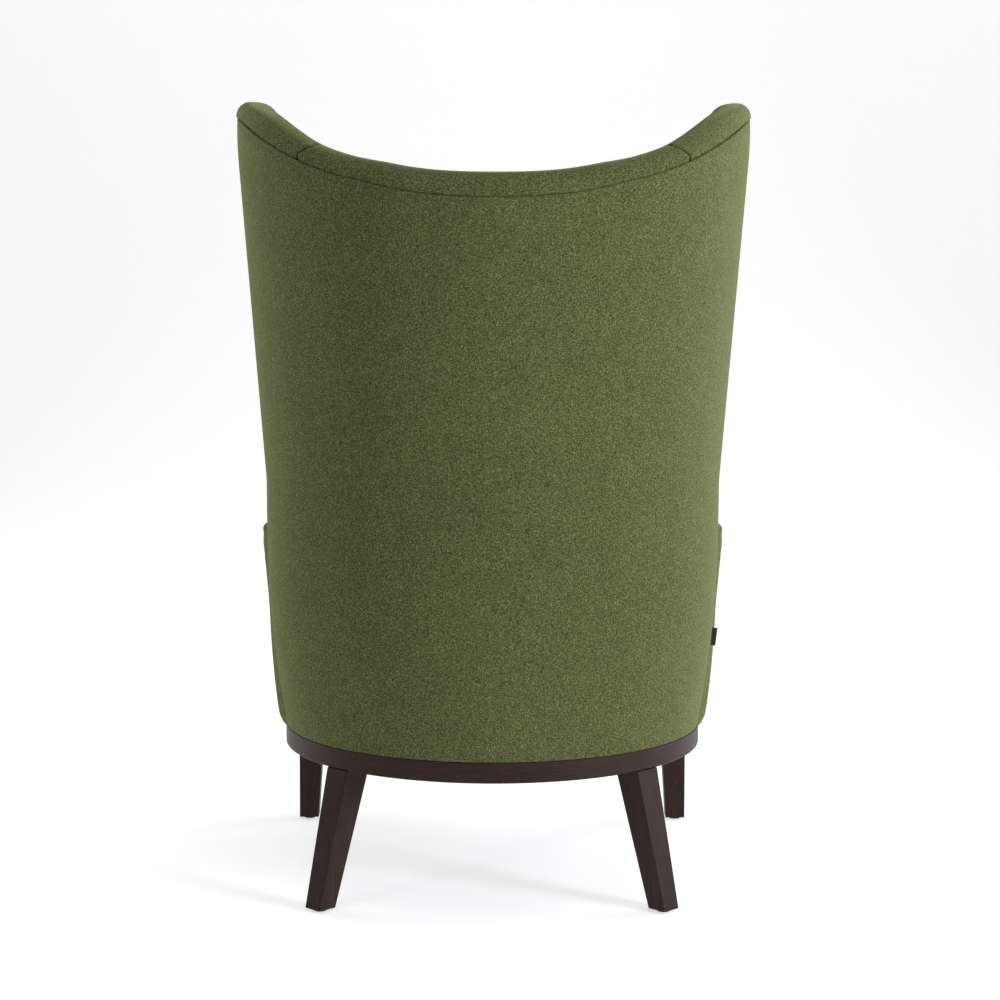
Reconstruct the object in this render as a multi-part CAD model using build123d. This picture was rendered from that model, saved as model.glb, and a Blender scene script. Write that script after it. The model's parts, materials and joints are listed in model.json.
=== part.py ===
"""Fan-backed wing armchair: wooden ring base, bent shell, soft pads and loose seat.

Millimetres. X is the width, the sitter faces -Y, Z is up. Shapes are drawn about the
centre of the ring's rear half circle; at the end all of them move together so that the
middle of the outline stands on the origin. Left and right are the sitter's.
"""
import os
from math import atan2, cos, degrees, radians, sin, tan

from build123d import *

# Base ring and deck
RING_RADIUS = 330.0
RING_FRONT = 345.0
RING_BOW = 10.0
RING_FLARE = 2.0
RING_CORNER = 60.0
RING_HEIGHT = 31.0
RING_WIDTH = 44.0
RING_EASE = 3.0
LEDGE = 12.0
DECK = 15.0
DUST_COVER = 1.0

# Legs and glides
GLIDE_HEIGHT = 4.0
GLIDE_DIAMETER = 20.0
GLIDE_EASE = 1.0
GLIDE_PIN = (4.0, 16.0)
LEG_HEIGHT = 206.0
LEG_TOP = 45.5
LEG_FOOT = 33.0
LEG_EASE = 2.0
REAR_LEG_ANGLE = 45.0
REAR_LEG_INSET = 22.0
REAR_LEG_SPLAY = 57.0
FRONT_LEG_INSET = (28.5, 45.0)
FRONT_LEG_SPLAY = (8.5, 15.0)

# Wing shell
WAIST_BULGE = (28.0, 32.0)
WAIST_RISE = 389.0
BARREL_POWER = 2.5
FLARE = 4.5
LEAN = 8.0
RIM_RISE = 850.0
RIM_LIFT = 130.0
RIM_POWER = 2.5
RIM_STEPS = 24
RIM_SWEEP = 118.0
CURL_RISE = 30.0
CURL_RADIUS = 600.0
TIP_FRONT = 72.0
TIP_RADIUS = 80.0
TIP_TRIM = 3.0
WING_FRONT = 38.0
WING_HOLLOW = 4.0
SHELL = 64.0
ROLL = 30.0
SEAM_INSET = 32.0
SEAM_CLOSE = 0.3
PANEL = 18.0
CORE = 12.0
LUMBAR = 150.0
PAD_SEAM_ANGLE = 43.0
SHELL_STATIONS = 11
SHELL_TOP_SPARE = 190.0

# Arms
ARM_RISE = 315.0
ARM_WALL = 48.0
ARM_SETBACK = 7.0
ARM_PROUD = (8.0, 2.5)
ARM_TUCK = 76.0
ARM_POINTS = 5
ARM_EDGE = 14.0
ARM_CORNER = 50.0
ARM_FOOT_EDGE = 5.0
ARM_FRAME = 18.0
ARM_FRAME_INSET = 24.0
ARM_FRAME_DROP = 41.0
ARM_FRAME_REAR = 25.0
ARM_FRAME_NOSE = 38.0

# Seat
RAIL = 25.0
RAIL_RISE = 70.0
RAIL_INSET = 80.0
RAIL_SETBACK = 33.0
RAIL_REAR_INSET = 180.0
STRAP_WIDTH = 50.0
STRAP = 2.0
LONG_STRAPS = 5
LONG_PITCH = 82.5
CROSS_STRAPS = 4
CROSS_PITCH = 90.0
CUSHION_GAP = 5.0
CUSHION_BACK_GAP = 3.0
CUSHION_OVERHANG = 17.0
CUSHION_BOW = 14.0
CUSHION_DRAW_IN = 5.0
CUSHION_CORNER = 45.0
CUSHION_TOP = 137.0
CUSHION_CROWN = 1900.0
CUSHION_EDGE = 28.0
CUSHION_UNDER_EDGE = 12.0
APRON_SETBACK = 2.0
APRON_EDGE = 6.0

# Fasteners: diameter, reach up, reach down
LEG_BOLT = (8.0, 20.0, 40.0)
LEG_DOWEL = (8.0, 15.0, 15.0)
ARM_DOWEL = (8.0, 15.0, 15.0)
CORE_DOWEL = (5.0, 13.0, 13.0)
DECK_SCREW = (4.0, 8.0, 25.0)
RAIL_SCREW = (4.5, 9.0, 45.0)
DOWEL_OFFSET = 13.0

# Blank tab sewn in the right arm seam
TAB = (24.0, 0.8, 28.0)
TAB_OUT = 5.5
TAB_RISE = 137.0

# Clearances
GLUE_GAP = 0.3
SEW_GAP = 0.4
SEAM_GAP = 1.2
BORE_CLEAR = 0.15

# Widths and depths that follow from the ring
ARM_INNER = RING_RADIUS - ARM_WALL
ARM_FRONT = RING_FRONT - ARM_SETBACK
ARM_FRAME_SIDE = RING_RADIUS - ARM_FRAME_INSET
ARM_FRAME_FRONT = ARM_FRONT - ARM_FRAME_NOSE
RAIL_SIDE = RING_RADIUS - RAIL_INSET
RAIL_FRONT = RING_FRONT - RAIL_SETBACK
RAIL_REAR = RING_RADIUS - RAIL_REAR_INSET
CUSHION_FRONT = RING_FRONT + CUSHION_OVERHANG
APRON_FRONT = RING_FRONT - APRON_SETBACK

# Heights that follow
RING_BOTTOM = GLIDE_HEIGHT + LEG_HEIGHT
RING_TOP = RING_BOTTOM + RING_HEIGHT
DECK_BOTTOM = RING_TOP - DECK
WAIST_Z = RING_TOP + WAIST_RISE
ARM_TOP = RING_TOP + ARM_RISE
RIM_Z = RING_TOP + RIM_RISE
SIDE_RAIL_TOP = RING_TOP + RAIL_RISE
END_RAIL_TOP = SIDE_RAIL_TOP + STRAP + BORE_CLEAR
SEAT_BOTTOM = END_RAIL_TOP + STRAP + GLUE_GAP
SEAT_TOP = SEAT_BOTTOM + CUSHION_TOP
SEAM_Y = -(WING_FRONT - SEAM_INSET)

QUARTER_ROUND = 0.5523


def barrel(z, bulge):
    """How far the shell stands outside the ring at height z below the waist."""
    share = (WAIST_Z - z) / (WAIST_Z - RING_TOP)
    return bulge * (1 - share ** BARREL_POWER)


def half_width(z):
    """Half width of the shell's outer face at height z."""
    if z < WAIST_Z:
        return RING_RADIUS + barrel(z, WAIST_BULGE[0])
    curl = max(0.0, z - RIM_Z - CURL_RISE) ** 2 / (2 * CURL_RADIUS)
    return RING_RADIUS + WAIST_BULGE[0] + (z - WAIST_Z) * tan(radians(FLARE)) - curl


def rear_reach(z):
    """How far the shell's outer face reaches back at height z."""
    if z < WAIST_Z:
        return RING_RADIUS + barrel(z, WAIST_BULGE[1])
    return RING_RADIUS + WAIST_BULGE[1] + (z - WAIST_Z) * tan(radians(LEAN))


def back_depth(z):
    """Whole thickness of the back in the middle: deep at the lumbar, thin at the rim."""
    share = (RIM_Z - z) / (RIM_Z - SEAT_TOP)
    return SHELL + (LUMBAR - SHELL) * min(1.0, share)


def quarter(half, reach, side):
    """Quarter of the rounded plan, from the side to the middle of the back."""
    bend = QUARTER_ROUND
    return Bezier(
        (side * half, 0),
        (side * half, bend * reach),
        (side * bend * half, reach),
        (0, reach),
    )


def band_section(z, outer, inner_side, inner_rear):
    """U-shaped plan at height z between two depths below the outer face."""
    far_half, far_reach = half_width(z) - outer, rear_reach(z) - outer
    near_half, near_reach = half_width(z) - inner_side, rear_reach(z) - inner_rear
    front = -2 * TIP_FRONT
    edges = []
    for side in (1, -1):
        edges.append(Line((side * far_half, front), (side * far_half, 0)))
        edges.append(quarter(far_half, far_reach, side))
        edges.append(Line((side * near_half, front), (side * near_half, 0)))
        edges.append(quarter(near_half, near_reach, side))
        edges.append(Line((side * near_half, front), (side * far_half, front)))
    return Pos(0, 0, z) * make_face(edges)


def layer(outer, inner):
    """Curved layer of the shell between two depths below the outer face."""
    return stations(lambda z: band_section(z, outer, inner, inner))


def stations(draw):
    """Loft through evenly spaced plans from the ring to above the rim."""
    step = (RIM_RISE + SHELL_TOP_SPARE) / (SHELL_STATIONS - 1)
    return loft([draw(RING_TOP + step * i) for i in range(SHELL_STATIONS)])


def rim_height(angle):
    """Height of the rim where the plan has turned by an angle from the middle of the back."""
    return RIM_Z + RIM_LIFT * abs(sin(radians(angle))) ** RIM_POWER


def below_rim(inset):
    """Everything below the rim, which rises from the back round to the wing tips."""
    rows = []
    half, reach = half_width(RIM_Z), rear_reach(RIM_Z)
    for i in range(RIM_STEPS + 1):
        angle = RIM_SWEEP * (2 * i / RIM_STEPS - 1)
        across, along = half * sin(radians(angle)), reach * cos(radians(angle))
        height = rim_height(angle) - inset * (1 - SEAM_CLOSE * sin(radians(angle)) ** 2)
        rows.append([(share * across, share * along, height) for share in (0.25, 0.7, 1.15)])
    top = Face.make_surface_from_array_of_points(rows)
    return extrude(top, 2 * RIM_Z, dir=(0, 0, -1))


def wing_front(inset, tuck=0.0):
    """Everything behind the front edge of the wings, with the step back at the arms.

    Below the arms the edge may run back towards the foot by a tuck.
    """
    far = 2 * RING_RADIUS
    step = inset - WING_FRONT if inset else SEAM_Y
    low = (inset - WING_FRONT, ARM_TOP + GLUE_GAP)
    high = (inset - TIP_FRONT, RIM_Z + 2 * RIM_LIFT)
    middle = (low[0] + WING_HOLLOW, (low[1] + high[1]) / 2)
    edges = [
        Line((far, RING_TOP), (step + tuck, RING_TOP)),
        Line((step + tuck, RING_TOP), (step, low[1])),
        ThreePointArc(low, middle, high),
        Line(high, (far, high[1])),
        Line((far, high[1]), (far, RING_TOP)),
    ]
    if step != low[0]:
        edges.append(Line((step, low[1]), low))
    prism = extrude(Plane.YZ * make_face(edges), 2 * RING_RADIUS, both=True)
    if inset:
        top = RIM_Z + RIM_LIFT - inset * (1 - SEAM_CLOSE) - TIP_TRIM
        prism &= box((-far, far), (-far, far), (0, top))
        corner = prism.faces().sort_by(Axis.Z)[-1].edges().sort_by(Axis.Y)[0]
        prism = fillet(corner, TIP_RADIUS - inset)
    return prism


def trimmed(body, inset, tuck=0.0):
    """A shell layer cut to the rim and the wing edge, with the tips rounded off."""
    body = body & wing_front(inset, tuck) & below_rim(inset)
    if inset:
        return body
    return fillet(body.edges().filter_by(is_tip_edge), TIP_RADIUS)


def is_tip_edge(edge):
    """True for the two edges where the rim meets the front of a wing."""
    start, end = edge.position_at(0), edge.position_at(1)
    return min(start.Z, end.Z) > RIM_Z and max(start.Y, end.Y) < 0 and abs(start.Y - end.Y) < 1


def is_rim_edge(edge):
    """True for the edges that the roll follows: rim, tip and wing front."""
    points = [edge.position_at(share) for share in (0, 0.5, 1)]
    deep, tall = [max(v) - min(v) for v in zip(*[(p.Y, p.Z) for p in points])]
    crosses_wing = deep < 5 and tall < 5 and edge.length < 2 * SHELL
    upright_join = deep < 0.01 and abs(points[1].Y) < 0.01
    centre_line = max(abs(p.X) for p in points) < 0.01
    high = points[1].Z > ARM_TOP + ROLL
    return high and not crosses_wing and not upright_join and not centre_line


def box(x, y, z):
    """Box between pairs of limits."""
    size = (x[1] - x[0], y[1] - y[0], z[1] - z[0])
    return Pos(x[0], y[0], z[0]) * Box(*size, align=(Align.MIN, Align.MIN, Align.MIN))


def mirrored(shape):
    """The same shape on the other side of the chair."""
    return mirror(shape, about=Plane.YZ)


def group(shapes):
    """Several solids as one named piece."""
    return Compound([solid for shape in shapes for solid in shape.solids()])


def upright(diameter, height):
    """Cylinder standing on the origin."""
    return Cylinder(diameter / 2, height, align=(Align.CENTER, Align.CENTER, Align.MIN))


def pin(size, point, bore=False):
    """Upright pin or its bore: diameter, reach up and reach down from a point."""
    diameter, up, down = size
    x, y, z = point
    grow = BORE_CLEAR if bore else 0.0
    return Pos(x, y, z - down - grow) * upright(diameter + 2 * grow, up + down + 2 * grow)


def screw(size, point, down=True, bore=False):
    """Countersunk screw, or its hole, with the head's face at a point."""
    shank, head, length = size
    grow = BORE_CLEAR if bore else 0.0
    cone = (head - shank) / 2
    profile = make_face(
        Polyline(
            (0, 0),
            (head / 2 + grow, 0),
            (shank / 2 + grow, -cone - grow),
            (shank / 2 + grow, -length - grow),
            (0, -length - grow),
            close=True,
        )
    )
    body = revolve(Plane.XZ * profile, Axis.Z)
    turn = Rot(0, 0, 0) if down else Rot(180, 0, 0)
    return Pos(*point) * turn * body


def ring_plan(inset):
    """Plan of the base: half circle behind, opening sides, round corners, bowed front."""
    flare = radians(RING_FLARE)
    radius = RING_RADIUS - inset
    side = (radius * cos(flare), radius * sin(flare))
    corner_y = -(RING_FRONT - RING_BOW - inset)
    corner_x = side[0] + (side[1] - corner_y) * tan(flare)
    edges = [
        ThreePointArc((-side[0], side[1]), (0, radius), side),
        Line(side, (corner_x, corner_y)),
        ThreePointArc((corner_x, corner_y), (0, inset - RING_FRONT), (-corner_x, corner_y)),
        Line((-corner_x, corner_y), (-side[0], side[1])),
    ]
    face = make_face(edges)
    return fillet(face.vertices().sort_by(Axis.Y)[:2], RING_CORNER - inset)


def ring_side(y, inset=0.0):
    """Half width of the ring's plan where its side runs forward."""
    flare = radians(RING_FLARE)
    return (RING_RADIUS - inset) / cos(flare) - y * tan(flare)


def slab(plan, low, high):
    """Plan carried between two heights."""
    return extrude(Pos(0, 0, low) * plan, high - low, dir=(0, 0, 1))


def leg_spots():
    """Top centre, foot centre, turn and name of the two left legs."""
    angle = radians(REAR_LEG_ANGLE)
    rear_top = RING_RADIUS - REAR_LEG_INSET
    rear_foot = rear_top + REAR_LEG_SPLAY
    front_y = FRONT_LEG_INSET[1] - RING_FRONT
    front_x = ring_side(front_y) - FRONT_LEG_INSET[0]
    rear = (
        (rear_top * sin(angle), rear_top * cos(angle)),
        (rear_foot * sin(angle), rear_foot * cos(angle)),
        90 - REAR_LEG_ANGLE,
    )
    front = (
        (front_x, front_y),
        (front_x + FRONT_LEG_SPLAY[0], front_y - FRONT_LEG_SPLAY[1]),
        0.0,
    )
    return {"rear": rear, "front": front}


def leg_blank(top, foot, turn):
    """Square leg, tapered and splayed, with eased long edges."""
    foot_face = Pos(foot[0], foot[1], GLIDE_HEIGHT) * Rot(0, 0, turn) * Rectangle(LEG_FOOT, LEG_FOOT)
    top_face = Pos(top[0], top[1], RING_BOTTOM) * Rot(0, 0, turn) * Rectangle(LEG_TOP, LEG_TOP)
    body = loft([foot_face, top_face])
    return fillet(body.edges().filter_by(lambda e: e.length > LEG_HEIGHT / 2), LEG_EASE)


def glide(foot):
    """Round glide with its pin."""
    disc = upright(GLIDE_DIAMETER, GLIDE_HEIGHT)
    disc = chamfer(disc.edges().sort_by(Axis.Z)[:1], GLIDE_EASE)
    stem = pin((GLIDE_PIN[0], GLIDE_PIN[1], 0.0), (0, 0, GLIDE_HEIGHT))
    return Pos(foot[0], foot[1], 0) * (disc + stem)


def base_pieces():
    """Ring, legs, glides, deck and what holds them together."""
    spots = leg_spots()
    bolts, dowels, bores, legs, glides = [], [], [], {}, []
    for name, (top, foot, turn) in spots.items():
        side = (cos(radians(turn)), sin(radians(turn)))
        off = (top[0] + DOWEL_OFFSET * side[1], top[1] - DOWEL_OFFSET * side[0])
        if name == "front":
            off = (top[0], top[1] + DOWEL_OFFSET)
        at_bolt, at_dowel = (*top, RING_BOTTOM), (*off, RING_BOTTOM)
        bolts.append(pin(LEG_BOLT, at_bolt))
        dowels.append(pin(LEG_DOWEL, at_dowel))
        cuts = pin(LEG_BOLT, at_bolt, bore=True) + pin(LEG_DOWEL, at_dowel, bore=True)
        bores.append(cuts)
        glides.append(glide(foot))
        stem = pin((GLIDE_PIN[0], GLIDE_PIN[1], GLIDE_HEIGHT), (*foot, GLIDE_HEIGHT), bore=True)
        leg = leg_blank(top, foot, turn) - cuts - stem
        legs["leg_%s_left" % name] = leg
        legs["leg_%s_right" % name] = mirrored(leg)

    ring = slab(ring_plan(0), RING_BOTTOM, RING_TOP)
    ring = fillet(ring.faces().sort_by(Axis.Z)[0].edges(), RING_EASE)
    ring -= slab(ring_plan(RING_WIDTH), RING_BOTTOM, RING_TOP)
    ring -= slab(ring_plan(RING_WIDTH - LEDGE), DECK_BOTTOM, RING_TOP)
    deck = slab(ring_plan(RING_WIDTH - LEDGE + BORE_CLEAR), DECK_BOTTOM, RING_TOP)

    middle = RING_WIDTH - LEDGE / 2
    radius = RING_RADIUS - middle
    points = [(radius * sin(radians(a)), radius * cos(radians(a))) for a in (22, 66)]
    points += [(ring_side(-share * RING_FRONT, middle), -share * RING_FRONT) for share in (0.2, 0.58)]
    deck_screws = [screw(DECK_SCREW, (x, y, RING_TOP)) for x, y in points]
    holes = [screw(DECK_SCREW, (x, y, RING_TOP), bore=True) for x, y in points]

    y_side = (RAIL_REAR - RAIL) * 0.6
    rail_points = [
        (RAIL_SIDE - RAIL / 2, y_side),
        (RAIL_SIDE - RAIL / 2, -RAIL_FRONT * 0.7),
        (RAIL_SIDE / 2, RAIL_REAR - RAIL / 2),
        (RAIL_SIDE / 2, RAIL / 2 - RAIL_FRONT),
    ]
    heads = [(x, y, DECK_BOTTOM) for x, y in rail_points]
    rail_screws = [screw(RAIL_SCREW, head, down=False) for head in heads]
    rail_holes = [screw(RAIL_SCREW, head, down=False, bore=True) for head in heads]

    arm_dowels = [pin(ARM_DOWEL, point) for point in arm_dowel_points()]
    arm_bores = [pin(ARM_DOWEL, point, bore=True) for point in arm_dowel_points()]
    core_dowels = [pin(CORE_DOWEL, point) for point in core_dowel_points()]
    core_bores = [pin(CORE_DOWEL, point, bore=True) for point in core_dowel_points()]

    for cut in bores + holes + arm_bores:
        ring -= cut
        ring -= mirrored(cut)
    for cut in core_bores:
        ring -= cut
    for cut in holes + rail_holes:
        deck -= cut
        deck -= mirrored(cut)

    pieces = {"base_ring": ring, "seat_deck": deck}
    pieces.update(legs)
    pieces["leg_bolts"] = group(bolts + [mirrored(b) for b in bolts])
    pieces["leg_dowels"] = group(dowels + [mirrored(d) for d in dowels])
    pieces["glides"] = group(glides + [mirrored(g) for g in glides])
    pieces["deck_screws"] = group(deck_screws + [mirrored(s) for s in deck_screws])
    pieces["rail_screws"] = group(rail_screws + [mirrored(s) for s in rail_screws])
    pieces["arm_dowels"] = group(arm_dowels + [mirrored(d) for d in arm_dowels])
    pieces["core_dowels"] = group(core_dowels)
    cover_plan = ring_plan(RING_WIDTH + BORE_CLEAR)
    pieces["dust_cover"] = slab(cover_plan, DECK_BOTTOM - DUST_COVER, DECK_BOTTOM)
    pieces.update(seat_frame(rail_holes))
    return pieces


def arm_dowel_points():
    """Dowels under the left arm frame."""
    length = ARM_FRAME_FRONT - ARM_FRAME_REAR
    x = ARM_FRAME_SIDE + ARM_FRAME / 2
    return [(x, -ARM_FRAME_REAR - length * share, RING_TOP) for share in (0.12, 0.5, 0.86)]


def core_dowel_points():
    """Dowels along the lower edge of the bent core."""
    radius = RING_RADIUS - PANEL - GLUE_GAP - CORE / 2 + 1.0
    angles = [-75 + 25 * i for i in range(7)]
    return [(radius * sin(radians(a)), radius * cos(radians(a)), RING_TOP) for a in angles]


def seat_frame(holes):
    """Four rails on the deck with two layers of straps over them."""
    wide = ARM_INNER - GLUE_GAP
    front, rear = RAIL - RAIL_FRONT, RAIL_REAR - RAIL
    end_rise, side_rise = (RING_TOP, END_RAIL_TOP), (RING_TOP, SIDE_RAIL_TOP)
    rails = {
        "rail_front": box((-wide, wide), (-RAIL_FRONT, front), end_rise),
        "rail_rear": box((-RAIL_SIDE, RAIL_SIDE), (rear, RAIL_REAR), end_rise),
    }
    left = box((RAIL_SIDE - RAIL, RAIL_SIDE), (front, rear), side_rise)
    for hole in holes:
        left -= hole
        for name in rails:
            rails[name] -= hole
            rails[name] -= mirrored(hole)
    rails["rail_left"] = left
    rails["rail_right"] = mirrored(left)

    half = STRAP_WIDTH / 2
    long_straps = []
    over = (END_RAIL_TOP, END_RAIL_TOP + STRAP)
    for i in range(LONG_STRAPS):
        x = (i - (LONG_STRAPS - 1) / 2) * LONG_PITCH
        long_straps.append(box((x - half, x + half), (-RAIL_FRONT, RAIL_REAR), over))
    cross_straps = []
    under = (SIDE_RAIL_TOP, SIDE_RAIL_TOP + STRAP)
    middle = (RAIL_REAR - RAIL_FRONT) / 2
    for i in range(CROSS_STRAPS):
        y = middle + (i - (CROSS_STRAPS - 1) / 2) * CROSS_PITCH
        cross_straps.append(box((-RAIL_SIDE, RAIL_SIDE), (y - half, y + half), under))
    rails["webbing_long"] = group(long_straps)
    rails["webbing_cross"] = group(cross_straps)
    return rails


def shell_pieces():
    """Bent core, outer back and the three inner pads with the rolled rim."""
    whole = trimmed(stations(lambda z: band_section(z, 0, SHELL, back_depth(z))), 0)
    rolled = fillet(whole.edges().filter_by(is_rim_edge), ROLL)

    panel = trimmed(layer(0, PANEL), SEAM_INSET, ARM_TUCK)
    panel &= box((-1e3, 1e3), (-1e3, 1e3), (RING_TOP + GLUE_GAP, 2e3))
    core = trimmed(layer(PANEL + GLUE_GAP, PANEL + GLUE_GAP + CORE), SEAM_INSET)
    for point in core_dowel_points():
        core -= pin(CORE_DOWEL, point, bore=True)

    room = trimmed(layer(-PANEL, PANEL + CORE + 2 * GLUE_GAP), SEAM_INSET - SEW_GAP)
    pads = rolled & box((-1e3, 1e3), (-1e3, 1e3), (SEAT_BOTTOM, 2e3))
    pads -= room

    reach = 3 * RING_RADIUS
    slot = box((-SEW_GAP / 2, SEW_GAP / 2), (0, reach), (0, 2e3))
    wedge = extrude(
        make_face(
            Polyline(
                (0, 0),
                (reach * tan(radians(PAD_SEAM_ANGLE)), reach),
                (-reach * tan(radians(PAD_SEAM_ANGLE)), reach),
                close=True,
            )
        ),
        2e3,
    )
    cuts = Rot(0, 0, -PAD_SEAM_ANGLE) * slot + Rot(0, 0, PAD_SEAM_ANGLE) * slot
    middle = (pads & wedge) - cuts
    wings = (pads - wedge) - cuts
    left = group([s for s in wings.solids() if s.center().X > 0])
    return {
        "back_core": core,
        "outer_back_panel": panel,
        "inner_back_pad": middle,
        "wing_pad_left": left,
        "wing_pad_right": mirrored(left),
    }


def arm_proud(z):
    """How far the arm's outer face stands outside the shell's at height z."""
    share = (z - RING_TOP) / ARM_RISE
    return ARM_PROUD[0] + (ARM_PROUD[1] - ARM_PROUD[0]) * share


def seam_y(z):
    """Where the seam between arm and outer back lies at height z."""
    return SEAM_Y + ARM_TUCK * (ARM_TOP - z) / ARM_RISE


def arm_section(y):
    """Upright section of the left arm at one distance forward."""
    low = RING_TOP + GLUE_GAP
    heights = [low + (ARM_TOP - low) * i / (ARM_POINTS - 1) for i in range(ARM_POINTS)]
    flare = ring_side(y) - ring_side(0)
    outline = [(half_width(z) + arm_proud(z) + flare, z) for z in heights]
    edges = [
        Spline(*outline),
        Line(outline[-1], (ARM_INNER, ARM_TOP)),
        Line((ARM_INNER, ARM_TOP), (ARM_INNER, low)),
        Line((ARM_INNER, low), outline[0]),
    ]
    return Plane((0, y, 0), x_dir=(1, 0, 0), z_dir=(0, -1, 0)) * make_face(edges)


def arm_tail():
    """Rear end of the left arm, which follows the shell round to the slanting seam."""
    band = stations(lambda z: band_section(z, -arm_proud(z), PANEL, PANEL))
    low, high = RING_TOP + GLUE_GAP, ARM_TOP - ARM_EDGE
    side = Polyline(
        (SEAM_Y - SEAM_GAP, low),
        (seam_y(low) - SEAM_GAP, low),
        (seam_y(high) - SEAM_GAP, high),
        (SEAM_Y - SEAM_GAP, high),
        close=True,
    )
    return band & extrude(Plane.YZ * make_face(side), 2 * RING_RADIUS)


def eased_foot(body):
    """The same piece with the outer edge of its foot rounded."""
    foot = body.faces().sort_by(Axis.Z)[0].edges()
    return fillet([e for e in foot if e.center().X > ring_side(0)], ARM_FOOT_EDGE)


def arm_pieces():
    """Padded arms with a plywood frame inside."""
    rear = SEAM_Y - SEAM_GAP
    body = loft([arm_section(rear), arm_section(-ARM_FRONT)], ruled=True)
    at_front = body.edges().group_by(Axis.Y)[0].filter_by(lambda e: e.length > ARM_RISE * 0.9)
    body = fillet(at_front.sort_by(Axis.X)[-1], ARM_CORNER)
    top_edges = body.faces().sort_by(Axis.Z)[-1].edges()
    soft = [e for e in top_edges if e.center().Y < rear - 0.1]
    at_front = body.edges().group_by(Axis.Y)[0].filter_by(lambda e: e.length > ARM_RISE * 0.9)
    soft.append(at_front.sort_by(Axis.X)[0])
    body = eased_foot(fillet(soft, ARM_EDGE)) + eased_foot(arm_tail())

    side = (ARM_FRAME_SIDE, ARM_FRAME_SIDE + ARM_FRAME)
    ends = (-ARM_FRAME_FRONT, -ARM_FRAME_REAR)
    frame = box(side, ends, (RING_TOP, ARM_TOP - ARM_FRAME_DROP))
    room = box(
        (side[0] - GLUE_GAP, side[1] + GLUE_GAP),
        (ends[0] - GLUE_GAP, ends[1] + GLUE_GAP),
        (RING_TOP, ARM_TOP - ARM_FRAME_DROP + GLUE_GAP),
    )
    pad = body - room
    for point in arm_dowel_points():
        frame -= pin(ARM_DOWEL, point, bore=True)
    return {
        "arm_pad_left": pad,
        "arm_pad_right": mirrored(pad),
        "arm_frame_left": frame,
        "arm_frame_right": mirrored(frame),
    }


def cushion_plan():
    """Plan of the loose seat: rounded behind, drawn in at the sides, bowed front."""
    front = CUSHION_BOW - CUSHION_FRONT
    between_wings = half_width(SEAT_BOTTOM) - SHELL - SEW_GAP
    half = min(ARM_INNER - CUSHION_GAP, between_wings)
    reach = rear_reach(SEAT_BOTTOM) - LUMBAR - CUSHION_BACK_GAP
    waist = (half - CUSHION_DRAW_IN, front / 2)
    edges = [
        quarter(half, reach, 1),
        quarter(half, reach, -1),
        ThreePointArc((-half, 0), (-waist[0], waist[1]), (-half, front)),
        ThreePointArc((-half, front), (0, -CUSHION_FRONT), (half, front)),
        ThreePointArc((half, front), waist, (half, 0)),
    ]
    face = make_face(edges)
    return fillet(face.vertices().sort_by(Axis.Y)[:2], CUSHION_CORNER)


def seat_pieces():
    """Loose crowned cushion, upholstered front panel and the blank tab."""
    blank = slab(cushion_plan(), SEAT_BOTTOM, SEAT_TOP + CUSHION_TOP)
    crown = Pos(0, -RING_RADIUS / 4, SEAT_TOP - CUSHION_CROWN) * Sphere(CUSHION_CROWN)
    cushion = blank & crown
    top = cushion.faces().sort_by(Axis.Z)[-1]
    cushion = fillet(top.edges(), CUSHION_EDGE)
    cushion = fillet(cushion.faces().sort_by(Axis.Z)[0].edges(), CUSHION_UNDER_EDGE)

    half = ARM_INNER - GLUE_GAP
    side_y = RING_BOW - APRON_FRONT
    plan = make_face(
        [
            ThreePointArc((-half, side_y), (0, -APRON_FRONT), (half, side_y)),
            Line((half, side_y), (half, -RAIL_FRONT)),
            Line((half, -RAIL_FRONT), (-half, -RAIL_FRONT)),
            Line((-half, -RAIL_FRONT), (-half, side_y)),
        ]
    )
    apron = slab(plan, RING_TOP + GLUE_GAP, END_RAIL_TOP)
    front = apron.faces().sort_by(Axis.Y)[0]
    apron = fillet(front.edges().filter_by(lambda e: e.length > half), APRON_EDGE)

    tab_z = RING_TOP + TAB_RISE
    tab_y = seam_y(tab_z)
    across = (1 - (tab_y / rear_reach(tab_z)) ** 2) ** 0.5
    outer = half_width(tab_z) * across + arm_proud(tab_z) + TAB_OUT
    lean = degrees(atan2(ARM_TUCK, ARM_RISE))
    tab = Pos(TAB[0] / 2 - outer, tab_y - SEAM_GAP / 2, tab_z) * Rot(lean, 0, 0) * Box(*TAB)
    return {"seat_cushion": cushion, "seat_front_panel": apron, "seam_tab": tab}


def main():
    pieces = {}
    pieces.update(base_pieces())
    pieces.update(shell_pieces())
    pieces.update(arm_pieces())
    pieces.update(seat_pieces())

    front = -CUSHION_FRONT
    back = max(v.Y for v in pieces["inner_back_pad"].vertices())
    shift = Pos(0, -(front + back) / 2, 0)
    os.makedirs("parts", exist_ok=True)
    for name, shape in pieces.items():
        export_step(shift * shape, "parts/%s.step" % name)
    print(len(pieces), "pieces, depth", round(back - front, 1), "moved by", round(-(front + back) / 2, 2))


main()
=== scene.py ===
# %% [markdown]
# # A fan-backed wing armchair
# The real chair is a bent shell covered in olive wool felt, with soft pads, two arms and a
# loose seat, standing on a dark wooden ring with four tapered legs. The wood, the glides and
# everything inside are shown as they were constructed. All the soft pieces are made again
# here, because cloth over foam swells, rolls and folds in at its seams, and a plain solid
# does not.

# %% Load the constructed chair
import json
import math

import bmesh
import bpy
from mathutils import Matrix, Vector


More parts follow.
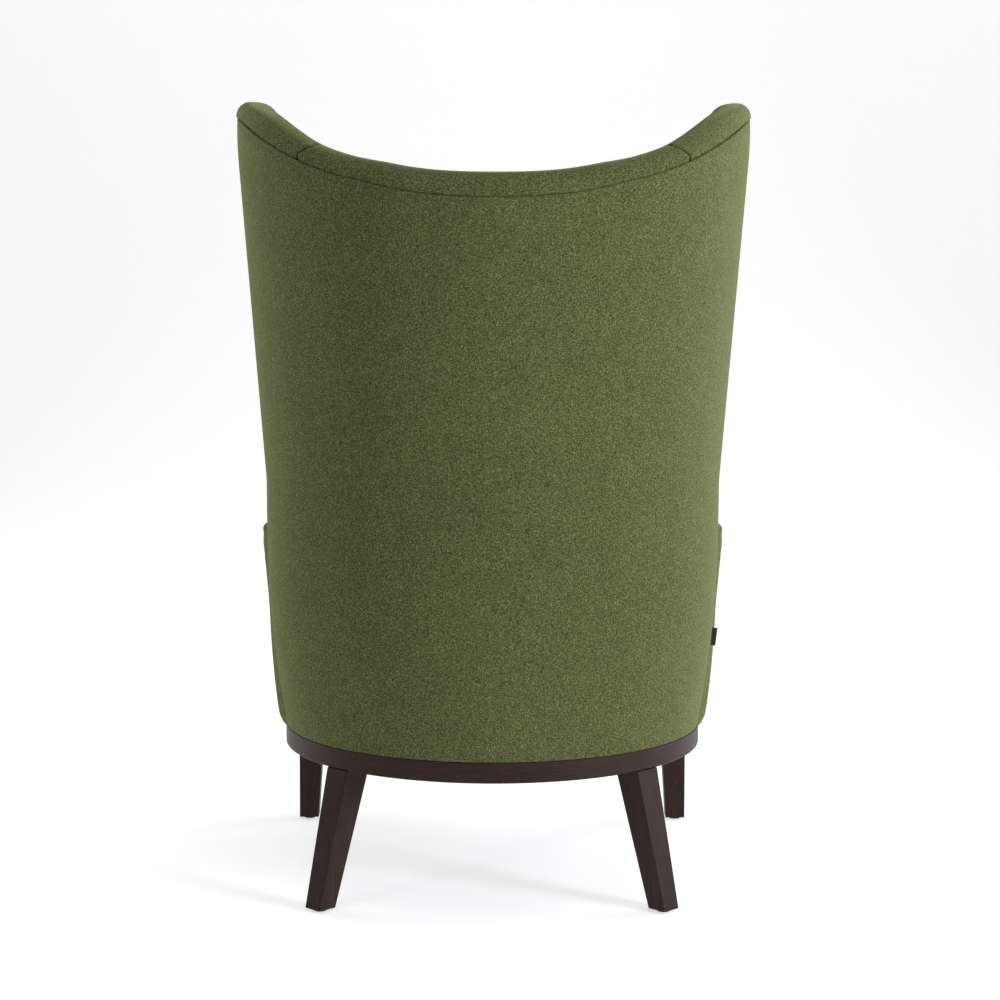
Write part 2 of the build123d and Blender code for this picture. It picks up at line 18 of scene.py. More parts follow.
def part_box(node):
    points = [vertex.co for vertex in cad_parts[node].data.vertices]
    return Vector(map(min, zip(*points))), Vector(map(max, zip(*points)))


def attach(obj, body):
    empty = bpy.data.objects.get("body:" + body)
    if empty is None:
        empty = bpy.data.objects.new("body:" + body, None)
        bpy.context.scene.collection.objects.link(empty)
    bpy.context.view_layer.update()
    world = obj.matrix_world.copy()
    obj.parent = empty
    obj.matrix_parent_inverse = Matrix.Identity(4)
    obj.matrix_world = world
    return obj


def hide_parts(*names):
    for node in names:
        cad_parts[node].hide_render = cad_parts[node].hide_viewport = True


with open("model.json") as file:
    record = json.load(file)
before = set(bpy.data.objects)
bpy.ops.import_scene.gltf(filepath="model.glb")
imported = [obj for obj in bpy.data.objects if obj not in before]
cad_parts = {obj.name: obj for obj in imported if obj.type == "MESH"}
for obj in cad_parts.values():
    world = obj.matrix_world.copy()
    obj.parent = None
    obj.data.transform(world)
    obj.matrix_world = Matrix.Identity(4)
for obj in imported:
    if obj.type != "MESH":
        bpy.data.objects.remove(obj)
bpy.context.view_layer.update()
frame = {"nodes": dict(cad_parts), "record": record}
nodes = frame["nodes"]
scene = bpy.context.scene

# %% [markdown]
# ## The camera
# The picture looks straight at the back of the chair from a little over three metres, from
# about the height of the rim and tilted slightly down. A long lens keeps the sides nearly
# parallel. The camera comes first, so that every later step can be looked at.

# %% Camera
LENS = 80.0
CAMERA_PLACE = (0.0, 3.490, 0.957)
CAMERA_TILT = 84.11
CAMERA_TURN = 179.816
CAMERA_ROLL = 0.15

turned = Matrix.Rotation(math.radians(CAMERA_TURN), 3, "Z")
tilted = Matrix.Rotation(math.radians(CAMERA_TILT), 3, "X")
rolled = Matrix.Rotation(math.radians(CAMERA_ROLL), 3, "Z")
camera_data = bpy.data.cameras.new("camera")
camera_data.lens = LENS
camera = bpy.data.objects.new("camera", camera_data)
camera.location = CAMERA_PLACE
camera.rotation_euler = (turned @ tilted @ rolled).to_euler()
scene.collection.objects.link(camera)
scene.camera = camera
print("camera", camera.location[:])

# %% [markdown]
# ## Finishes: small helpers
# Every finish is a chain of nodes that starts from the piece's own coordinates, so the pattern
# stays on the piece from any side. Three small helpers cover most of them: random spots, a
# colour ramp that turns spots into colours, and a bump that turns spots into relief.

# %% Colour helpers
def new_finish(name):
    """Empty finish: material, node tree, shader and the piece's own coordinates."""
    material = bpy.data.materials.new(name)
    material.use_nodes = True
    tree = material.node_tree
    place = tree.nodes.new("ShaderNodeTexCoord").outputs["Object"]
    return material, tree, tree.nodes["Principled BSDF"], place


def spots(tree, place, per_metre, detail=2.0, rough=0.5):
    """Random soft spots; about so many fit in a metre."""
    noise = tree.nodes.new("ShaderNodeTexNoise")
    noise.inputs["Scale"].default_value = per_metre
    noise.inputs["Detail"].default_value = detail
    noise.inputs["Roughness"].default_value = rough
    tree.links.new(place, noise.inputs["Vector"])
    return noise.outputs["Fac"]


def coloured(tree, amount, stops):
    """Colours along a ramp, given as (position, (red, green, blue))."""
    ramp = tree.nodes.new("ShaderNodeValToRGB")
    points = ramp.color_ramp.elements
    while len(points) < len(stops):
        points.new(0.5)
    for point, (position, colour) in zip(points, stops):
        point.position = position
        point.color = (*colour, 1.0)
    tree.links.new(amount, ramp.inputs["Fac"])
    return ramp.outputs["Color"]


def blended(tree, first, second, amount, how="MULTIPLY"):
    """Two colours laid over each other."""
    mix = tree.nodes.new("ShaderNodeMix")
    mix.data_type = "RGBA"
    mix.blend_type = how
    mix.inputs[0].default_value = amount
    tree.links.new(first, mix.inputs[6])
    tree.links.new(second, mix.inputs[7])
    return mix.outputs[2]


print("colour helpers ready")

# %% Relief and direction helpers
def relief(tree, shader, height, strength, distance):
    """Bump from a pattern, added to what the shader already has."""
    bump = tree.nodes.new("ShaderNodeBump")
    bump.inputs["Strength"].default_value = strength
    bump.inputs["Distance"].default_value = distance
    tree.links.new(height, bump.inputs["Height"])
    if shader.inputs["Normal"].is_linked:
        tree.links.new(shader.inputs["Normal"].links[0].from_socket, bump.inputs["Normal"])
    tree.links.new(bump.outputs["Normal"], shader.inputs["Normal"])


def stretched(tree, place, scale):
    """The same coordinates with each axis scaled, to draw a pattern out lengthways."""
    mapping = tree.nodes.new("ShaderNodeMapping")
    mapping.inputs["Scale"].default_value = scale
    tree.links.new(place, mapping.inputs["Vector"])
    return mapping.outputs["Vector"]


print("relief helpers ready")

# %% [markdown]
# ## Wool felt
# The cover is a heather felt: dark green, moss and pale yellow-green fibres are mixed before
# the cloth is felted, so it has fine flecks two or three millimetres across and slow cloudy
# patches, no weave and no gloss. The flecks are drawn out a little from front to back. The
# loose fibres catch light at the edges, which is what the shader's sheen is for.

# %% Felt finish
FELT_DARK = (0.031, 0.035, 0.0106)
FELT_MOSS = (0.072, 0.082, 0.0265)
FELT_PALE = (0.182, 0.200, 0.082)
FLECK_DRAW = (1.0, 0.75, 1.0)
FLECKS_PER_METRE = 550.0
CLOUDS_PER_METRE = 14.0
FIBRES_PER_METRE = 900.0
LUMPS_PER_METRE = 60.0
SHEEN_TINT = (0.86, 0.95, 0.40, 1.0)


def make_felt(name, dark, moss, pale):
    """Flecks of three colours under faint clouds, with loose fibres that shine at the edges."""
    material, tree, shader, place = new_finish(name)
    flecks = coloured(
        tree,
        spots(tree, stretched(tree, place, FLECK_DRAW), FLECKS_PER_METRE, 1.5, 0.7),
        [(0.33, dark), (0.50, moss), (0.68, pale)],
    )
    clouds = coloured(
        tree,
        spots(tree, place, CLOUDS_PER_METRE, 4.0, 0.6),
        [(0.30, (0.89, 0.89, 0.93)), (0.70, (1.0, 1.0, 1.0))],
    )
    tree.links.new(blended(tree, flecks, clouds, 1.0), shader.inputs["Base Color"])
    shader.inputs["Roughness"].default_value = 0.95
    shader.inputs["Specular IOR Level"].default_value = 0.1
    shader.inputs["Sheen Weight"].default_value = 0.19
    shader.inputs["Sheen Roughness"].default_value = 0.4
    shader.inputs["Sheen Tint"].default_value = SHEEN_TINT
    relief(tree, shader, spots(tree, place, FIBRES_PER_METRE, 3.0, 0.7), 0.35, 0.0008)
    relief(tree, shader, spots(tree, place, LUMPS_PER_METRE, 2.0, 0.5), 0.12, 0.002)
    return material


felt = make_felt("olive_wool_felt", FELT_DARK, FELT_MOSS, FELT_PALE)
print("felt", len(felt.node_tree.nodes), "nodes")

# %% [markdown]
# ## Stained wood
# Ring and legs are stained so dark that the grain only just shows, with a thin satin lacquer.
# On a leg the grain runs up its length. The ring is bent from layers, so its grain runs round
# it, and the pattern is drawn on the angle round the centre instead of on X and Y.

# %% Wood recipe
WOOD_DEEP = (0.016, 0.0072, 0.0058)
WOOD_LIT = (0.040, 0.0175, 0.0140)
LEG_GRAIN = (420.0, 420.0, 14.0)
RING_GRAIN = (9.0, 1.0, 420.0)


def wood_shader(tree, shader, lengthways):
    """Fine dark grain, faint bands and a satin lacquer, along stretched coordinates."""
    grain = coloured(
        tree,
        spots(tree, lengthways, 1.0, 6.0, 0.65),
        [(0.36, WOOD_DEEP), (0.68, WOOD_LIT)],
    )
    bands = coloured(
        tree,
        spots(tree, lengthways, 0.13, 2.0, 0.5),
        [(0.30, (0.78, 0.74, 0.74)), (0.70, (1.0, 1.0, 1.0))],
    )
    tree.links.new(blended(tree, grain, bands, 1.0), shader.inputs["Base Color"])
    shader.inputs["Roughness"].default_value = 0.48
    shader.inputs["Specular IOR Level"].default_value = 0.18
    relief(tree, shader, spots(tree, lengthways, 1.6, 4.0, 0.6), 0.06, 0.0006)


print("wood recipe ready")

# %% Leg wood and ring wood
leg_wood, leg_tree, leg_shader, leg_place = new_finish("stained_leg_wood")
wood_shader(leg_tree, leg_shader, stretched(leg_tree, leg_place, LEG_GRAIN))

ring_wood, ring_tree, ring_shader, ring_place = new_finish("stained_ring_wood")
apart = ring_tree.nodes.new("ShaderNodeSeparateXYZ")
angle = ring_tree.nodes.new("ShaderNodeMath")
angle.operation = "ARCTAN2"
together = ring_tree.nodes.new("ShaderNodeCombineXYZ")
ring_tree.links.new(ring_place, apart.inputs["Vector"])
ring_tree.links.new(apart.outputs["X"], angle.inputs[0])
ring_tree.links.new(apart.outputs["Y"], angle.inputs[1])
ring_tree.links.new(angle.outputs["Value"], together.inputs["X"])
ring_tree.links.new(apart.outputs["Z"], together.inputs["Z"])
wood_shader(ring_tree, ring_shader, stretched(ring_tree, together.outputs["Vector"], RING_GRAIN))
print("wood", leg_wood.name, ring_wood.name)

# %% [markdown]
# ## Finishes of the small and hidden pieces
# Glides, tab, dust cover, straps, plywood, dowels and steel are seen only from close by or
# from below. They share one recipe: two near colours mixed by spots and a little relief, with
# the coordinates stretched where the real material has a direction.

# %% Small finishes
def make_plain(name, dark, light, scale, roughness, metallic=0.0, bump=0.1):
    """Two near colours mixed by spots, so many to the metre along each axis."""
    material, tree, shader, place = new_finish(name)
    pattern = spots(tree, stretched(tree, place, scale), 1.0, 4.0, 0.6)
    tree.links.new(coloured(tree, pattern, [(0.35, dark), (0.65, light)]), shader.inputs["Base Color"])
    shader.inputs["Roughness"].default_value = roughness
    shader.inputs["Metallic"].default_value = metallic
    relief(tree, shader, pattern, bump, 0.0006)
    return material


glide_black = make_plain(
    "glide_black", (0.010, 0.010, 0.010), (0.022, 0.021, 0.021), (500, 500, 500), 0.5
)
tab_black = make_plain(
    "tab_black", (0.006, 0.006, 0.006), (0.020, 0.020, 0.020), (900, 900, 2600), 0.8, bump=0.3
)
cover_black = make_plain(
    "cover_black", (0.012, 0.012, 0.012), (0.030, 0.030, 0.030), (900, 300, 900), 0.95, bump=0.3
)
strap_black = make_plain(
    "strap_black", (0.015, 0.015, 0.015), (0.045, 0.045, 0.045), (900, 500, 900), 0.85, bump=0.4
)
birch_ply = make_plain("birch_ply", (0.48, 0.34, 0.20), (0.66, 0.52, 0.34), (30, 30, 700), 0.6)
beech = make_plain("beech_dowel_wood", (0.50, 0.34, 0.20), (0.66, 0.49, 0.32), (700, 700, 30), 0.6)
zinc = make_plain("zinc_steel", (0.50, 0.51, 0.52), (0.66, 0.67, 0.68), (300, 300, 300), 0.35, 1.0, 0.05)
thread = make_plain(
    "olive_thread", (0.040, 0.048, 0.018), (0.085, 0.096, 0.038), (2500, 2500, 2500), 0.7
)
print("small finishes ready")

# %% [markdown]
# ## Dressing the constructed pieces
# The record names a material slot for every constructed piece, so one small table from slot to
# finish dresses them all. Only the ring gets a finish of its own, because its grain runs round.

# %% Give the constructed pieces their finishes
FINISH_OF_SLOT = {
    "plywood": birch_ply,
    "beech_dowel": beech,
    "black_webbing": strap_black,
    "black_nonwoven": cover_black,
    "zinc_steel": zinc,
    "glide_black": glide_black,
    "tab_black": tab_black,
    "stained_wood": leg_wood,
    "olive_wool": felt,
}


def give_finish(obj, material):
    obj.data.materials.clear()
    obj.data.materials.append(material)


for piece in frame["record"]["subparts"]:
    give_finish(nodes[piece["node"]], FINISH_OF_SLOT[piece["material_slot"]])
give_finish(nodes["base_ring"], ring_wood)
print(len(nodes), "constructed pieces have finishes")

# %% [markdown]
# ## Formulas in a node tree
# The shell follows a rule: an oval plan that swells like a barrel up to the waist, opens like a
# fan above it and leans back, cut off by a rim that climbs to the wing tips. Geometry Nodes can
# draw it from that rule. To keep the formulas readable, this small class lets ordinary
# arithmetic add the Math nodes.

# %% Arithmetic that adds nodes
class Flow:
    """A number that flows through a node tree."""

    def __init__(self, tree, socket):
        self.tree = tree
        self.socket = socket

    def math(self, operation, *others):
        node = self.tree.nodes.new("ShaderNodeMath")
        node.operation = operation
        for slot, value in zip(node.inputs, (self, *others)):
            if isinstance(value, Flow):
                self.tree.links.new(value.socket, slot)
            else:
                slot.default_value = value
        return Flow(self.tree, node.outputs[0])

    def __add__(self, other):
        return self.math("ADD", other)

    def __sub__(self, other):
        return self.math("SUBTRACT", other)

    def __mul__(self, other):
        return self.math("MULTIPLY", other)

    def __truediv__(self, other):
        return self.math("DIVIDE", other)

    def __pow__(self, other):
        return self.math("POWER", other)

    def least(self, other):
        return self.math("MINIMUM", other)

    def most(self, other):
        return self.math("MAXIMUM", other)

    def from_number(self, number):
        return self * -1.0 + number


print("node arithmetic ready")

# %% Tree helpers
def new_tree(name, inputs):
    """Node tree with named inputs; returns it and its input flows."""
    tree = bpy.data.node_groups.new(name, "GeometryNodeTree")
    for label, kind in inputs.items():
        tree.interface.new_socket(label, in_out="INPUT", socket_type="NodeSocket" + kind)
    entry = tree.nodes.new("NodeGroupInput")
    flows = {label: Flow(tree, entry.outputs[label]) for label in inputs}
    return tree, flows


def close_tree(tree, kind, socket):
    """Adds the tree's one output and links it."""
    tree.interface.new_socket("Result", in_out="OUTPUT", socket_type="NodeSocket" + kind)
    leave = tree.nodes.new("NodeGroupOutput")
    tree.links.new(socket, leave.inputs["Result"])
    return tree


def fill_inputs(tree, node, links):
    """Links or sets a node's inputs by name (spaces written as underscores)."""
    for label, value in links.items():
        slot = node.inputs[label.replace("_", " ")]
        if isinstance(value, Flow):
            tree.links.new(value.socket, slot)
        elif isinstance(value, bpy.types.NodeSocket):
            tree.links.new(value, slot)
        else:
            slot.default_value = value


def added(tree, kind, **links):
    """New node of a kind with its inputs filled."""
    node = tree.nodes.new(kind)
    fill_inputs(tree, node, links)
    return node


print("tree helpers ready")

# %% [markdown]
# ## One point of the shell
# A group works out a single point from four numbers: how far along the plan it lies (from one
# wing to the other), how high it lies between ring and seam, how far it drops below that, and
# how far it stands off the surface. The panel and the line of stitches both use it, so the
# stitches always lie on the cloth.

# %% Shell sizes
_, ring_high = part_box("base_ring")
RING_RADIUS = 0.330
PANEL_CLEAR = 0.0003
RING_TOP = ring_high.z
CENTRE_Y = ring_high.y - RING_RADIUS
SHELL_SIZES = {
    "Ring Radius": RING_RADIUS,
    "Ring Top": RING_TOP + PANEL_CLEAR,
    "Waist Height": 0.630,
    "Side Bulge": 0.028,
    "Rear Bulge": 0.032,
    "Side Flare": math.tan(math.radians(4.5)),
    "Rear Lean": math.tan(math.radians(8.0)),
    "Curl Start": 1.121,
    "Curl Radius": 0.600,
    "Rim Height": 1.091,
    "Rim Lift": 0.130,
    "Roll": 0.030,
    "Seam Inset": 0.032,
    "Seam Close": 0.3,
    "Seam Dip": 0.080,
    "Arm Top": 0.556,
    "Arm Tuck": 0.076,
    "Tip Radius": 0.048,
    "Edge Radius": 0.0028,
    "Centre Y": CENTRE_Y,
}
QUARTER_LENGTH = 0.62
BARREL_POWER = 2.5
RIM_POWER = 2.5
RIM_END_SHARE = 0.7
DIP_START = 0.5
DIP_END = 1.15
print("ring top", round(RING_TOP, 4), "shell centre", round(CENTRE_Y, 4))

# %% Parts of the shell's rule
WING_TALL = 0.795
WING_SWEEP = 0.084
WING_HOLLOW = 0.050
WING_START = 0.006


def spread_out(waist, low, z, bulge, slope, radius):
    """Half width or rear reach of the shell at height z."""
    under = ((waist - z.least(waist)) / (waist - low)) ** BARREL_POWER
    return radius + bulge * under.from_number(1.0) + (z - waist).most(0.0) * slope


def wing_edge(z, f):
    """How far forward of the plan's straight start the panel runs at height z."""
    above = ((z - f["Arm Top"]) / WING_TALL).most(0.0)
    below = ((f["Arm Top"] - z) / (f["Arm Top"] - f["Ring Top"])).most(0.0)
    return above * above * WING_SWEEP - above * WING_HOLLOW + WING_START - below * f["Arm Tuck"]


def rounded(distance, radius):
    """How far a quarter-round edge falls away at a distance from the edge."""
    inside = (distance.from_number(0.0) + radius).most(0.0)
    return radius - (radius * radius - inside * inside).most(0.0).math("SQRT")


print("panel edge forward of the plan by", WING_START, "at the arm top")

# %% Shell point group
GROOVE_BELOW = 0.0075
GROOVE_WIDTH = 0.0016
GROOVE_DEPTH = 0.0006


def shell_point_group():
    """Group that turns along, rise, drop below the seam and stand-off into a place."""
    inputs = {"Along": "Float", "Rise": "Float", "Below Seam": "Float", "Stand Off": "Float"}
    inputs.update({label: "Float" for label in SHELL_SIZES})
    tree, f = new_tree("shell_point", inputs)
    share = f["Along"].math("ABSOLUTE")

    rim_end = wing_edge(f["Rim Height"] + f["Rim Lift"] * RIM_END_SHARE, f) / QUARTER_LENGTH + 1.0
    rim_sine = ((share * rim_end).least(1.0) * (math.pi / 2)).math("SINE")
    inset = f["Seam Inset"] * (rim_sine * rim_sine * f["Seam Close"]).from_number(1.0)
    inset = inset + (rim_sine - DIP_START).most(0.0) * rim_sine.from_number(DIP_END) * f["Seam Dip"]
    seam = f["Rim Height"] + f["Rim Lift"] * rim_sine**RIM_POWER - inset
    to_end = rim_end * share.from_number(1.0) * QUARTER_LENGTH
    top = seam - rounded(to_end, f["Tip Radius"])

    z = f["Ring Top"] + (top - f["Ring Top"]) * f["Rise"] - f["Below Seam"]
    sizes = (f["Waist Height"], f["Ring Top"], z)
    full_half = spread_out(*sizes, f["Side Bulge"], f["Side Flare"], f["Ring Radius"])
    full_reach = spread_out(*sizes, f["Rear Bulge"], f["Rear Lean"], f["Ring Radius"])
    forward = wing_edge(z, f)
    back = ((forward * -1.0).most(0.0) / full_reach).math("ARCSINE") / (math.pi / 2)
    end = forward.most(0.0) / QUARTER_LENGTH - back + 1.0
    along = share * end
    turn = along.least(1.0) * (math.pi / 2)
    straight = (along - 1.0).most(0.0) * QUARTER_LENGTH
    edge = end * share.from_number(1.0) * QUARTER_LENGTH
    nearest = (top - z).least(edge).least(z - f["Ring Top"])
    groove = (((top - z) - GROOVE_BELOW) / GROOVE_WIDTH) ** 2.0
    depth = rounded(nearest, f["Edge Radius"]) + rounded(top + inset - z, f["Roll"])
    depth = depth + (groove * -1.0).math("EXPONENT") * GROOVE_DEPTH - f["Stand Off"]
    curl = (z - f["Curl Start"]).most(0.0) ** 2.0 / (f["Curl Radius"] * 2.0)

    half = full_half - curl - depth
    reach = full_reach - depth
    x = f["Along"].math("SIGN") * half * turn.math("SINE")
    y = reach * turn.math("COSINE") - straight + f["Centre Y"]
    point = added(tree, "ShaderNodeCombineXYZ", X=x, Y=y, Z=z)
    return close_tree(tree, "Vector", point.outputs["Vector"])


shell_point = shell_point_group()
print("shell point group", len(shell_point.nodes), "nodes")

# %% [markdown]
# ## The outer back panel
# One piece of felt covers the whole back from wing to wing. It could be cut out of a remeshed
# solid, but a grid drawn from the rule is smoother and lets the rows crowd together at the
# seam, where the cloth turns in. Columns and rows are spaced by a smooth step for that reason.
# Solidify gives the felt and its foam their thickness.

# %% Panel tree
def shell_call(tree, flows, **links):
    """The shell point group inside another tree, with all its sizes passed on."""
    node = tree.nodes.new("GeometryNodeGroup")
    node.node_tree = shell_point
    for label in SHELL_SIZES:
        tree.links.new(flows[label].socket, node.inputs[label])
    fill_inputs(tree, node, links)
    return node.outputs["Result"]


def panel_tree():
    """Grid put through the shell group, row by row and column by column."""
    inputs = {label: "Float" for label in SHELL_SIZES}
    inputs.update({"Columns": "Int", "Rows": "Int", "Cloth": "Material"})
    tree, f = new_tree("fan_panel", inputs)
    grid = added(
        tree,
        "GeometryNodeMeshGrid",
        Size_X=2.0,
        Size_Y=1.0,
        Vertices_X=f["Columns"],
        Vertices_Y=f["Rows"],
    )
    place = tree.nodes.new("GeometryNodeInputPosition")
    apart = added(tree, "ShaderNodeSeparateXYZ", Vector=place.outputs["Position"])
    u = Flow(tree, apart.outputs["X"])
    v = Flow(tree, apart.outputs["Y"]) + 0.5
    along = u * (u * u * 0.5).from_number(1.5)
    rise = v * v * (v * 2.0).from_number(3.0)
    point = shell_call(tree, f, Along=along, Rise=rise)
    shaped = added(tree, "GeometryNodeSetPosition", Geometry=grid.outputs["Mesh"], Position=point)
    plain = added(tree, "GeometryNodeRealizeInstances", Geometry=shaped.outputs["Geometry"])
    clad = added(tree, "GeometryNodeSetMaterial", Geometry=plain.outputs["Geometry"], Material=f["Cloth"])
    return close_tree(tree, "Geometry", clad.outputs["Geometry"])


fan_panel = panel_tree()
print("panel tree", len(fan_panel.nodes), "nodes")

# %% [markdown]
# ## From modifiers to plain meshes
# A node tree or a modifier is only a recipe. The chair is built of plain meshes, so each recipe is run
# once, its result is kept and the modifier is taken off.

# %% Turn modifiers into plain meshes
def new_piece(name, mesh):
    obj = bpy.data.objects.new(name, mesh)
    scene.collection.objects.link(obj)
    return obj


def piece_from(work, name):
    """Makes a piece of a bmesh, which is then freed."""
    mesh = bpy.data.meshes.new(name)
    work.to_mesh(mesh)
    work.free()
    return new_piece(name, mesh)


def settle(obj):
    """Replaces the mesh by what its modifiers make of it and removes them."""
    depsgraph = bpy.context.evaluated_depsgraph_get()
    result = bpy.data.meshes.new_from_object(
        obj.evaluated_get(depsgraph), preserve_all_data_layers=True, depsgraph=depsgraph
    )
    obj.modifiers.clear()
    obj.data = result
    return obj


def grown(name, tree, values):
    """Runs a node tree on an empty mesh and keeps the result as a plain mesh."""
    obj = new_piece(name, bpy.data.meshes.new(name))
    modifier = obj.modifiers.new("grow", "NODES")
    modifier.node_group = tree
    for socket in tree.interface.items_tree:
        if socket.in_out == "INPUT" and socket.name in values:
            modifier[socket.identifier] = values[socket.name]
    return settle(obj)


print("mesh helpers ready")

# %% Faces and counts
def face_outwards(obj):
    """Makes an open sheet's faces point away from the chair's middle."""
    work = bmesh.new()
    work.from_mesh(obj.data)
    bmesh.ops.recalc_face_normals(work, faces=work.faces)
    middle = Vector((0.0, CENTRE_Y, 0.0))
    outward = sum((face.calc_center_median() - middle).xy.dot(face.normal.xy) for face in work.faces)
    if outward < 0:
        bmesh.ops.reverse_faces(work, faces=work.faces)
    work.to_mesh(obj.data)
    work.free()


def smooth(obj):
    obj.data.polygons.foreach_set("use_smooth", [True] * len(obj.data.polygons))


def count(obj):
    return "%s %d faces" % (obj.name, len(obj.data.polygons))


print("face helpers ready")

# %% Make the outer back panel
PANEL_WALL = 0.012
PANEL_GRID = {"Columns": 201, "Rows": 161}
panel = grown("outer_back_cover", fan_panel, {**SHELL_SIZES, **PANEL_GRID, "Cloth": felt})
face_outwards(panel)
wall = panel.modifiers.new("wall", "SOLIDIFY")
wall.thickness = PANEL_WALL
wall.offset = -1.0
settle(panel)
smooth(panel)
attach(panel, "root")
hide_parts("outer_back_panel")
print(count(panel))

# %% [markdown]
# ## Padded pieces
# Back pad, wings, arms, seat and front panel are foam in a sewn cover. Each starts as a copy of
# its constructed solid, gets even small faces, and is then blown up a little as cloth under
# pressure while its seams and hidden sides are held. That gives what a block can't: panels that
# swell between seams which stay drawn in.

# %% Copy a constructed piece
POCKET_SPARE = 0.002
MERGE_DISTANCE = 1e-5


def lay_on(obj, form, group=""):
    """Draws the points of a piece back onto a form."""
    lay = obj.modifiers.new("lay on", "SHRINKWRAP")
    lay.target = form
    lay.vertex_group = group


def close_pocket(work, low, high):
    """Takes out the points of a pocket between two corners and fills the opening."""
    inside = [
        vert
        for vert in work.verts
        if all(a - POCKET_SPARE < value < b + POCKET_SPARE for a, value, b in zip(low, vert.co, high))
    ]
    bmesh.ops.delete(work, geom=inside, context="VERTS")
    bmesh.ops.holes_fill(work, edges=[edge for edge in work.edges if edge.is_boundary])


def soft_copy(name, node, voxel, pocket=None):
    """Merged copy of a constructed piece in even faces, and the form that it was made from."""
    mesh = nodes[node].data.copy()
    mesh.name = name
    work = bmesh.new()
    work.from_mesh(mesh)
    bmesh.ops.remove_doubles(work, verts=work.verts, dist=MERGE_DISTANCE)
    if pocket:
        close_pocket(work, *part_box(pocket))
    work.to_mesh(mesh)
    work.free()
    form = new_piece(name + "_form", mesh)
    obj = new_piece(name, mesh.copy())
    even = obj.modifiers.new("even faces", "REMESH")
    even.mode = "VOXEL"
    even.voxel_size = voxel
    ease = obj.modifiers.new("ease", "SMOOTH")
    ease.factor = 0.5
    ease.iterations = 4
    lay_on(obj, form)
    return settle(obj), form


print("copy helpers ready")

# %% Swell a copy as cloth
SWELL_FRAMES = 14
PRESSURE = 4.0
STILL = 1e-6


def swell(obj, held, most):
    """Cloth under pressure; held gives 0 to 1 for a point, and no point moves further than most."""
    group = obj.vertex_groups.new(name="held")
    for vertex in obj.data.vertices:
        group.add([vertex.index], held(vertex.co, vertex.normal), "REPLACE")
    cloth = obj.modifiers.new("swell", "CLOTH")
    cloth.settings.vertex_group_mass = "held"
    cloth.settings.use_pressure = True
    cloth.settings.uniform_pressure_force = PRESSURE
    cloth.settings.effector_weights.gravity = 0.0
    cloth.settings.quality = 3
    cloth.collision_settings.use_collision = False
    start = [vertex.co.copy() for vertex in obj.data.vertices]
    for step in range(1, SWELL_FRAMES + 1):
        scene.frame_set(step)
    settle(obj)
    for vertex, before in zip(obj.data.vertices, start):
        move = vertex.co - before
        if move.length > STILL:
            vertex.co = before + move.normalized() * most * math.tanh(move.length / most)
    scene.frame_set(1)


def ramp(value, start, end):
    """0 below start, 1 above end, smooth between."""
    share = min(1.0, max(0.0, (value - start) / (end - start)))
    return share * share * (3.0 - 2.0 * share)


def finer(obj, form):
    """One subdivision, with the held points drawn back onto the form, which is then removed."""
    split = obj.modifiers.new("finer", "SUBSURF")
    split.levels = 1
    split.render_levels = 1
    lay_on(obj, form, "held" if obj.vertex_groups else "")
    settle(obj)
    obj.vertex_groups.clear()
    bpy.data.objects.remove(form)


print("pressure", PRESSURE, "for", SWELL_FRAMES, "frames")

# %% Dress and mirror a pad
def finish_pad(obj, node):
    """Felt, and the declarations of a padded piece."""
    smooth(obj)
    give_finish(obj, felt)
    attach(obj, "root")
    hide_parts(node)
    print(count(obj))


def mirrored(obj, name):
    """The same piece on the other side of the chair."""
    mesh = obj.data.copy()
    mesh.name = name
    mesh.transform(Matrix.Scale(-1.0, 4, (1.0, 0.0, 0.0)))
    mesh.flip_normals()
    return new_piece(name, mesh)


print("soft helpers ready")

# %% [markdown]
# ## Back pad and wings
# The three inner pads wrap over the rim and are the rolled edge that is seen from behind. The
# roll and the side against the shell are held, so the outline stays, and the faces towards the
# sitter swell. To tell the sides apart, two functions follow the shell's rule once more, now
# for single points. From here on, a pair of numbers says where a smooth ramp starts and ends.

# %% Depth below the shell
def shell_plan(z):
    """Half width and rear reach of the shell's outer face at height z."""
    waist = SHELL_SIZES["Waist Height"]
    low = min(1.0, max(0.0, (waist - z) / (waist - RING_TOP))) ** BARREL_POWER
    high = max(0.0, z - waist)
    half = RING_RADIUS + SHELL_SIZES["Side Bulge"] * (1 - low) + high * SHELL_SIZES["Side Flare"]
    reach = RING_RADIUS + SHELL_SIZES["Rear Bulge"] * (1 - low) + high * SHELL_SIZES["Rear Lean"]
    curl = max(0.0, z - SHELL_SIZES["Curl Start"]) ** 2 / (2 * SHELL_SIZES["Curl Radius"])
    return half - curl, reach


def under_shell(point):
    """Depth of a point below the shell's outer face."""
    x, y, z = abs(point.x), point.y - CENTRE_Y, point.z
    half, reach = shell_plan(z)
    if y < 0:
        return half - x
    share = math.hypot(x / half, y / reach)
    return math.hypot(x, y) * (1 / share - 1)


print("half width at the waist", round(shell_plan(SHELL_SIZES["Waist Height"])[0], 4))

# %% Where the pads are held
PAD_SEAM = math.radians(43.0)
SITTER_DEPTH = (0.045, 0.070)
SEAM_SIDE = (0.003, 0.022)
PAD_BOTTOM = (0.325, 0.370)


def held_pad(point, normal):
    """Held against the shell, along the pad seams and along the bottom edge."""
    sitter_side = ramp(under_shell(point), *SITTER_DEPTH)
    turn = abs(math.atan2(abs(point.x), point.y - CENTRE_Y) - PAD_SEAM)
    from_seam = ramp(turn * math.hypot(point.x, point.y - CENTRE_Y), *SEAM_SIDE)
    from_bottom = ramp(point.z, *PAD_BOTTOM)
    return 1.0 - sitter_side * from_seam * from_bottom


print("pad seams at", round(math.degrees(PAD_SEAM), 1), "degrees")

